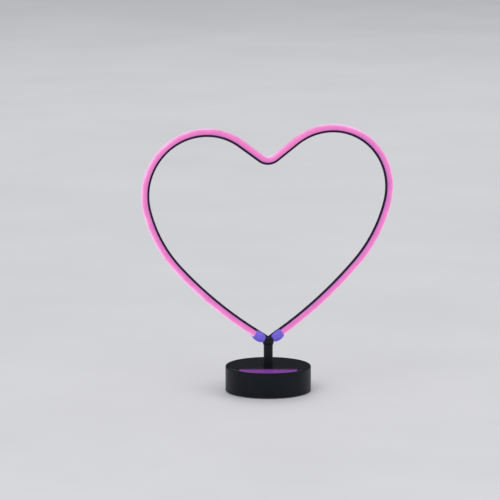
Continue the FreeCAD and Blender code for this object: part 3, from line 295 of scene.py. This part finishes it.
def clear_cap():
    """Blue-violet translucent end cap with a painted glow: its emission makes it look lit, though it
    holds no lamp.
    """
    shader = Shader(
        "clear_cap",
        Transmission_Weight=0.2,
        IOR=1.45,
        Specular_IOR_Level=0.4,
        Emission_Strength=0.75,
    )
    mottle_and_glow = shader.noise(160.0, detail=4.0, roughness=0.6)
    dark, light = (0.060, 0.055, 0.260), (0.100, 0.080, 0.330)
    shader.link(shader.colours(mottle_and_glow, (NOISE_LOW, dark), (NOISE_HIGH, light)), "Base Color")
    # Painted glow: an emission colour that makes the cap look lit, though no light is in it. The same
    # noise also mottles the cap's own colour.
    painted_glow_dim, painted_glow_bright = (0.110, 0.082, 0.480), (0.190, 0.110, 0.560)
    shader.link(shader.colours(mottle_and_glow, (NOISE_LOW, painted_glow_dim), (NOISE_HIGH, painted_glow_bright)), "Emission Color")
    shader.link(shader.spread(shader.noise(300.0), to_low=0.22, to_high=0.36), "Roughness")
    skin = shader.noise(700.0, roughness=0.6)
    shader.link(shader.bump(skin, strength=0.3, distance=0.00006), "Normal")
    return shader


def base_gloss():
    """Glossy top face and satin side wall, with a faint grain that the top mostly loses."""
    shader = Shader("base_gloss", Specular_IOR_Level=0.16)
    upward = shader.spread(shader.axis(shader.facing, "Z"), low=0.55, high=0.95)
    cloud = shader.spread(shader.noise(60.0, detail=5.0, roughness=0.6))
    dark, light = (0.0052, 0.0075, 0.0105), (0.0080, 0.0105, 0.0150)
    shader.link(shader.colours(cloud, (0.0, dark), (1.0, light)), "Base Color")
    wiping = shader.stretched((1.0, 3.0, 1.0), turn=(0.0, 0.0, 0.5))
    wiped = shader.noise(26.0, detail=6.0, roughness=0.62, at=wiping)
    top = shader.spread(wiped, high=0.72, to_low=0.11, to_high=0.17)
    side = shader.spread(wiped, high=0.72, to_low=0.38, to_high=0.47)
    top_less_side = shader.math("SUBTRACT", top, side)
    shader.link(shader.math("MULTIPLY_ADD", upward, top_less_side, side), "Roughness")
    grain = shader.noise(1700.0, detail=2.0, roughness=0.6)
    lost_on_top = 0.9
    kept = shader.math("SUBTRACT", 1.0, shader.math("MULTIPLY", upward, lost_on_top))
    grained = shader.bump(shader.math("MULTIPLY", grain, kept), strength=0.5, distance=0.00009)
    ripple = shader.noise(30.0, detail=2.0, roughness=0.5)
    shader.link(shader.bump(ripple, strength=0.06, distance=0.0008, under=grained), "Normal")
    return shader


def black_wire():
    """Satin black enamel over drawn steel wire, its black tinted violet as a painted reflection of the
    tube's pink glow.
    """
    shader = Shader("black_wire", Specular_IOR_Level=0.25)
    # The violet in this black is painted light: the tube's pink glow reflected on the wire.
    mottled(shader, (0.0170, 0.0060, 0.0310), spread=0.25, scale=130.0)
    handled = shader.noise(80.0, detail=5.0, roughness=0.6)
    shader.link(shader.spread(handled, to_low=0.3, to_high=0.42), "Roughness")
    orange_peel = shader.noise(850.0, detail=2.0, roughness=0.5)
    shader.link(shader.bump(orange_peel, strength=0.35, distance=0.00006), "Normal")
    return shader


def cell_jacket():
    """Battery cell: bare nickel ends and a dark jacket with a pale band towards the positive end."""
    shader = Shader("cell_jacket", Specular_IOR_Level=0.5)
    end_tilt, half_pitch, band_start = 0.7, 0.0075, 0.009
    along_x = shader.math("ABSOLUTE", shader.axis(shader.facing, "X"))
    end = shader.math("GREATER_THAN", along_x, end_tilt)
    off_middle = shader.math("ABSOLUTE", shader.axis(shader.place, "Y"))
    middle_cell = shader.math("LESS_THAN", off_middle, half_pitch)
    way = shader.math("MULTIPLY_ADD", middle_cell, 2.0, -1.0)
    along = shader.math("MULTIPLY", shader.axis(shader.place, "X"), way)
    band = shader.math("GREATER_THAN", along, band_start)
    scuffs = shader.spread(shader.noise(150.0, detail=6.0, roughness=0.7))
    dark = shader.colours(scuffs, (0.0, (0.030, 0.075, 0.045)), (1.0, (0.045, 0.105, 0.065)))
    pale = shader.colours(scuffs, (0.0, (0.42, 0.40, 0.34)), (1.0, (0.52, 0.50, 0.43)))
    nickel = shader.colours(scuffs, (0.0, (0.50, 0.49, 0.46)), (1.0, (0.66, 0.65, 0.61)))
    jacket = shader.mixed(band, dark, pale)
    shader.link(shader.mixed(end, jacket, nickel), "Base Color")
    shader.link(end, "Metallic")
    shader.link(shader.spread(shader.noise(90.0, detail=5.0), to_low=0.24, to_high=0.38), "Roughness")
    shader.link(shader.bump(shader.noise(600.0), strength=0.25, distance=0.00004), "Normal")
    return shader


def board_laminate():
    """Green solder mask with faint copper tracks under it."""
    shader = Shader("board_laminate", Specular_IOR_Level=0.5)
    tracks = shader.cell_borders(260.0, randomness=0.4)
    between = shader.spread(tracks, low=0.02, high=0.06)
    track, mask = (0.045, 0.235, 0.105), (0.015, 0.125, 0.050)
    shader.link(shader.colours(between, (0.0, track), (1.0, mask)), "Base Color")
    shader.link(shader.spread(shader.noise(200.0), to_low=0.25, to_high=0.4), "Roughness")
    shader.link(shader.bump(between, strength=0.3, distance=0.00005), "Normal")
    return shader


SHADERS = (
    neon_silicone(),
    clear_cap(),
    base_gloss(),
    black_wire(),
    cell_jacket(),
    board_laminate(),
    moulded("black_moulding", BLACK, roughness=0.4, grain=1600.0, depth=0.00007, specular=0.22),
    moulded("post_black", BLACK, roughness=0.4, grain=1500.0, depth=0.00006, specular=0.22),
    moulded("base_satin", (0.0170, 0.0185, 0.0225), roughness=0.5, grain=1300.0, depth=0.00011),
    moulded("cover_satin", (0.0210, 0.0225, 0.0270), roughness=0.46, grain=1300.0, depth=0.00011),
    moulded("slider_grey", (0.030, 0.031, 0.036), roughness=0.44, grain=1500.0, depth=0.00007),
    moulded("component_resin", (0.018, 0.018, 0.021), roughness=0.34, grain=1200.0, depth=0.00005),
    moulded("circuit_flex", (0.70, 0.68, 0.62), roughness=0.45, grain=900.0, depth=0.00004, spread=0.06),
    moulded("led_resin", (0.80, 0.40, 0.58), roughness=0.22, grain=900.0, depth=0.00003, spread=0.08),
    metal("plated_steel", (0.56, 0.56, 0.58), roughness=0.3, brushed=(1.0, 1.0, 6.0)),
    metal("screw_steel", (0.42, 0.42, 0.44), roughness=0.32, brushed=(1.0, 5.0, 1.0)),
    metal("contact_nickel", (0.62, 0.60, 0.56), roughness=0.26, brushed=(1.0, 1.0, 8.0)),
    rubbery("foot_rubber", (0.034, 0.034, 0.036), roughness=0.72),
    rubbery("lead_red", (0.42, 0.022, 0.020), roughness=0.4),
    rubbery("lead_black", (0.016, 0.016, 0.017), roughness=0.4),
)
PAINTS = {shader.name: shader.material for shader in SHADERS}

for node in frame["nodes"].values():
    for holder in node.material_slots:
        holder.material = PAINTS[holder.material.name]


# --------------------------------------------------------------------------- pieces built on the frame


def finished(name, built, paint, sharp, placed=Matrix()):
    """Makes a scene object of a built mesh, smooth except at edges sharper than `sharp` degrees."""
    bmesh.ops.recalc_face_normals(built, faces=built.faces)
    mesh = bpy.data.meshes.new(name)
    built.to_mesh(mesh)
    built.free()
    mesh.transform(placed)
    mesh.materials.append(PAINTS[paint])
    mesh.shade_smooth()
    mesh.set_sharp_from_angle(angle=math.radians(sharp))
    piece = bpy.data.objects.new(name, mesh)
    bpy.context.scene.collection.objects.link(piece)
    return piece


def turned(name, outline, paint, placed):
    """A closed solid of revolution: outline is (radius, height) from the lower pole to the upper one."""
    around = 96
    built = bmesh.new()
    rings = []
    for radius, height in outline:
        if radius == 0.0:
            rings.append([built.verts.new((0.0, 0.0, height))])
        else:
            ring = []
            for step in range(around):
                angle = math.tau * step / around
                ring.append(built.verts.new((radius * math.cos(angle), radius * math.sin(angle), height)))
            rings.append(ring)
    for lower, upper in zip(rings, rings[1:]):
        for step in range(around):
            following = (step + 1) % around
            corners = [lower[step % len(lower)], lower[following % len(lower)]]
            corners += [upper[following % len(upper)], upper[step % len(upper)]]
            built.faces.new(list(dict.fromkeys(corners)))
    return finished(name, built, paint, 38.0, placed)


def rounded(outline, radius):
    """The outline with each inner corner replaced by a small arc, as moulded and pressed parts have."""
    steps, share = 5, 0.45
    soft = [outline[0]]
    for before, here, after in zip(outline, outline[1:], outline[2:]):
        corner, one, two = Vector(here), Vector(before), Vector(after)
        reach = min(radius, (one - corner).length * share, (two - corner).length * share)
        start = corner + (one - corner).normalized() * reach
        end = corner + (two - corner).normalized() * reach
        for step in range(steps + 1):
            t = step / steps
            point = start * (1 - t) ** 2 + corner * (2 * t * (1 - t)) + end * t ** 2
            soft.append((max(point.x, 0.0), point.y))
    soft.append(outline[-1])
    return soft


def rubber_feet():
    """Feet with a rounded rim and a shallow dish moulded into the face that they stand on."""
    dish, rim, corner = 0.00025, 0.0004, 0.0003
    for number in range(1, 5):
        node = f"rubber_foot_{number}"
        low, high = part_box(node)
        middle, radius, height = (low + high) / 2, (high.x - low.x) / 2, high.z - low.z
        outline = [
            (0.0, dish),
            (radius * 0.42, dish),
            (radius * 0.5, 0.0),
            (radius * 0.92, 0.0),
            (radius, rim),
            (radius, height),
            (0.0, height),
        ]
        standing = Matrix.Translation((middle.x, middle.y, low.z))
        foot = turned(f"foot_{number}", rounded(outline, corner), "foot_rubber", standing)
        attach(foot, "lamp")
        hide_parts(node)


def battery_cells():
    """Cells with crimped ends and an insulating ring round the raised positive cap."""
    nub, crimp, ring, groove, edge, corner = 0.001, 0.0009, 0.0005, 0.0003, 0.0005, 0.0004
    for number in range(1, 4):
        node = f"battery_cell_{number}"
        low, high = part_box(node)
        radius, length = (high.z - low.z) / 2, high.x - low.x
        shoulder = length - nub
        outline = [
            (0.0, 0.0),
            (radius * 0.62, 0.0),
            (radius * 0.66, groove),
            (radius * 0.86, groove),
            (radius * 0.9, 0.0),
            (radius * 0.97, 0.0),
            (radius, edge),
            (radius, shoulder - crimp),
            (radius * 0.95, shoulder),
            (radius * 0.80, shoulder),
            (radius * 0.76, shoulder - ring),
            (radius * 0.40, shoulder - ring),
            (radius * 0.36, length - nub * 0.3),
            (radius * 0.30, length),
            (0.0, length),
        ]
        way = 1.0 if number == 2 else -1.0
        start = low.x if way > 0 else high.x
        middle = (low + high) / 2
        lying = Matrix.Rotation(math.radians(90.0) * way, 4, "Y")
        placed = Matrix.Translation((start, middle.y, middle.z)) @ lying
        cell = turned(f"cell_{number}", rounded(outline, corner), "cell_jacket", placed)
        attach(cell, "lamp")
        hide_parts(node)


def grip_ridges():
    """Low rounded ridges in the cover's finger notch, each a half round closed at both ends."""
    low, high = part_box("battery_cover")
    notch_middle, notch_floor = high.x - 0.006, low.z + 0.001
    count, pitch, length = 4, 0.00135, 0.0118
    half_width, rise, corners = 0.00036, 0.00042, 9
    for step in range(count):
        middle = notch_middle + (step - (count - 1) / 2) * pitch
        built = bmesh.new()
        rows = []
        for part in range(corners):
            angle = math.pi * part / (corners - 1)
            x, z = middle + half_width * math.cos(angle), notch_floor - rise * math.sin(angle)
            rows.append([built.verts.new((x, side * length / 2, z)) for side in (-1, 1)])
        for first, second in zip(rows, rows[1:] + rows[:1]):
            built.faces.new([first[0], second[0], second[1], first[1]])
        for side in (0, 1):
            built.faces.new([row[side] for row in rows])
        ridge = finished(f"grip_ridge_{step + 1}", built, "cover_satin", 50.0)
        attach(ridge, "cover")


rubber_feet()
battery_cells()
grip_ridges()


# ---------------------------------------------------------------------------- floor, lights and camera


def pale_floor():
    """A wide pale floor that is seen from above and lets a view from below look through it."""
    mesh = bpy.data.meshes.new("studio_floor")
    reach = 9.0
    corners = [(-reach, -reach, 0.0), (reach, -reach, 0.0), (reach, reach, 0.0), (-reach, reach, 0.0)]
    mesh.from_pydata(corners, [], [(0, 1, 2, 3)])
    floor = bpy.data.objects.new("studio_floor", mesh)
    bpy.context.scene.collection.objects.link(floor)
    paint = Shader("studio_floor", Roughness=0.6, Specular_IOR_Level=0.25)
    cloud = paint.spread(paint.noise(4.0))
    dark, light = (0.74, 0.74, 0.75), (0.78, 0.78, 0.79)
    paint.link(paint.colours(cloud, (0.0, dark), (1.0, light)), "Base Color")
    through = paint.add("ShaderNodeBsdfTransparent")
    chooser = paint.add("ShaderNodeMixShader")
    below = paint.add("ShaderNodeNewGeometry").outputs["Backfacing"]
    lit = paint.add("ShaderNodeLightPath").outputs["Is Shadow Ray"]
    paint.tree.links.new(paint.math("MAXIMUM", below, lit), chooser.inputs[0])
    paint.tree.links.new(paint.principled.outputs[0], chooser.inputs[1])
    paint.tree.links.new(through.outputs[0], chooser.inputs[2])
    paint.tree.links.new(chooser.outputs[0], paint.output.inputs["Surface"])
    mesh.materials.append(paint.material)


def aimed(thing, place, target):
    """Puts a light or a camera at a place, looks at the target and adds it to the scene."""
    thing.location = place
    thing.rotation_mode = "QUATERNION"
    thing.rotation_quaternion = (Vector(target) - Vector(place)).to_track_quat("-Z", "Y")
    bpy.context.scene.collection.objects.link(thing)


def softbox(name, place, target, size, power, colour=(1.0, 1.0, 1.0)):
    light = bpy.data.lights.new(name, "AREA")
    light.shape = "RECTANGLE"
    light.size, light.size_y = size
    light.energy = power
    light.color = colour
    box = bpy.data.objects.new(name, light)
    aimed(box, place, target)
    return box


def room_lights():
    """Soft lights from the front left, the front right and behind, all aimed below the heart's middle."""
    aim = (0.0, 0.0, 0.12)
    softbox("key_light", (-2.2, -2.4, 3.2), aim, size=(2.4, 2.4), power=52.0)
    softbox("fill_light", (2.6, -1.6, 2.2), aim, size=(2.4, 2.0), power=18.0)
    softbox("back_light", (0.8, 2.8, 2.6), aim, size=(2.4, 1.6), power=22.0)


def light_from_below():
    """Lights what only a view from below shows. The shell and the tube keep the room's own light."""
    light = softbox("under_light", (0.5, -0.7, -1.3), (0.0, 0.0, 0.0), size=(1.8, 1.8), power=60.0)
    highest_start = 0.012
    below = bpy.data.collections.new("seen_from_below")
    for thing in bpy.context.scene.objects:
        if thing.type != "MESH" or thing.name in ("studio_floor", frame["nodes"]["base_shell"].name):
            continue
        if min(corner[2] for corner in thing.bound_box) < highest_start:
            below.objects.link(thing)
    light.light_linking.receiver_collection = below


def glow_on_base():
    """The violet glow that the front of the base's glossy top mirrors: a low strip before the post."""
    low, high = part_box("base_shell")
    strip_height, strip_reach = 0.0052, 0.008
    turn = math.radians(VIEW_TURN)
    forward = Vector((-math.sin(turn), -math.cos(turn), 0.0))
    strip = Vector((0.0, 0.0, high.z + strip_height)) + forward * strip_reach
    rim = Vector((0.0, 0.0, high.z)) - forward * low.y
    violet = (0.40, 0.08, 0.58)
    glow = softbox("base_glow", strip, rim, size=(0.058, 0.0042), power=0.0016, colour=violet)
    glow.visible_camera = False
    base_only = bpy.data.collections.new("base_only")
    base_only.objects.link(frame["nodes"]["base_shell"])
    glow.light_linking.receiver_collection = base_only


def photo_camera():
    """A long lens, a little left of the front and a little above, aimed left of the lamp's axis."""
    azimuth, elevation, distance = math.radians(-VIEW_TURN), math.radians(9.5), 3.5
    target_height, target_left = 0.1433, 0.0183
    level = math.cos(elevation)
    back = Vector((math.sin(azimuth) * level, -math.cos(azimuth) * level, math.sin(elevation)))
    rightward = Vector((math.cos(azimuth), math.sin(azimuth), 0.0))
    target = Vector((0.0, 0.0, target_height)) - rightward * target_left
    data = bpy.data.cameras.new("photo_camera")
    data.sensor_width, data.lens = 36.0, 252.0
    data.clip_start, data.clip_end = 0.05, 60.0
    camera = bpy.data.objects.new("photo_camera", data)
    aimed(camera, target + back * distance, target)
    bpy.context.scene.camera = camera


def studio_world():
    """Soft light from all round. Reflections see a much dimmer room, as between black flags."""
    lit_level, mirrored_level = 0.75, 0.06
    world = bpy.data.worlds.new("studio_world")
    world.use_nodes = True
    nodes, links = world.node_tree.nodes, world.node_tree.links
    sky = nodes["Background"]
    sky.inputs["Color"].default_value = (0.80, 0.81, 0.84, 1.0)
    path = nodes.new("ShaderNodeLightPath")
    level = nodes.new("ShaderNodeMapRange")
    links.new(path.outputs["Is Glossy Ray"], level.inputs["Value"])
    level.inputs["To Min"].default_value = lit_level
    level.inputs["To Max"].default_value = mirrored_level
    links.new(level.outputs["Result"], sky.inputs["Strength"])
    bpy.context.scene.world = world


pale_floor()
studio_world()
room_lights()
light_from_below()
glow_on_base()
photo_camera()
bpy.context.scene.view_settings.view_transform = "Standard"
bpy.context.scene.view_settings.look = "None"
